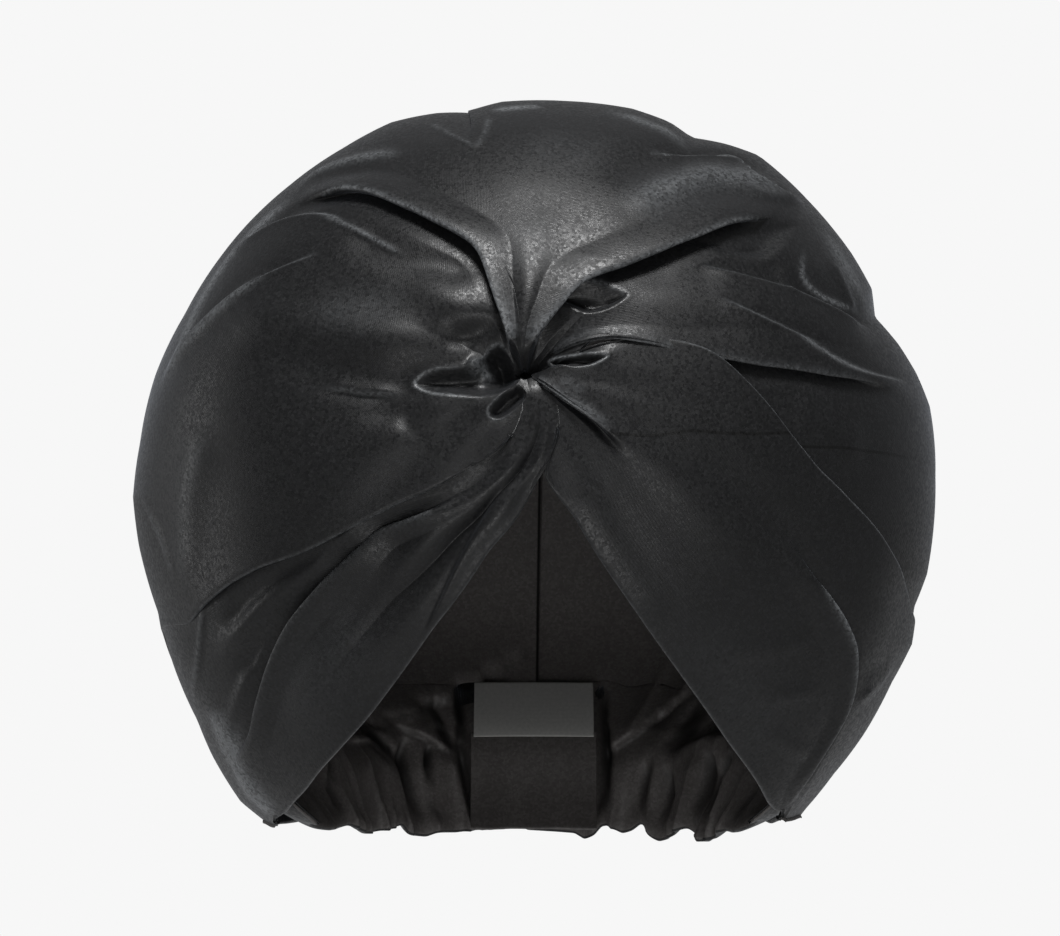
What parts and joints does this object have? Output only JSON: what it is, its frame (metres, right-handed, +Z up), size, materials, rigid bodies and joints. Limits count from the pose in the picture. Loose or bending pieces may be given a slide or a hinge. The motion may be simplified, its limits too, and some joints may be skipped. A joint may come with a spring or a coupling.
{
  "type": "hair bonnet",
  "caption": "Soft satin twist-front hair bonnet: a gathered bag with crossed front wraps, a V-shaped forehead opening and an elastic nape.",
  "frame": {"origin": "middle of the head opening, level with the bonnet's lower edge, where the head goes in", "axes": "+Z up through the crown, -Y out of the front through the twist, +X to the picture's right"},
  "size_m": [0.2756, 0.2485, 0.2561],
  "materials": {
    "satin": "black satin with a soft grey sheen on its folds",
    "label_ribbon": "dark grey woven ribbon, bare"
  },
  "bodies": {
    "root": {"crown_left": "satin", "crown_right": "satin", "wrap_left": "satin", "wrap_right": "satin", "twist_knot": "satin", "nape_band": "satin", "nape_tab": "satin", "label": "label_ribbon"}
  },
  "joints": []
}
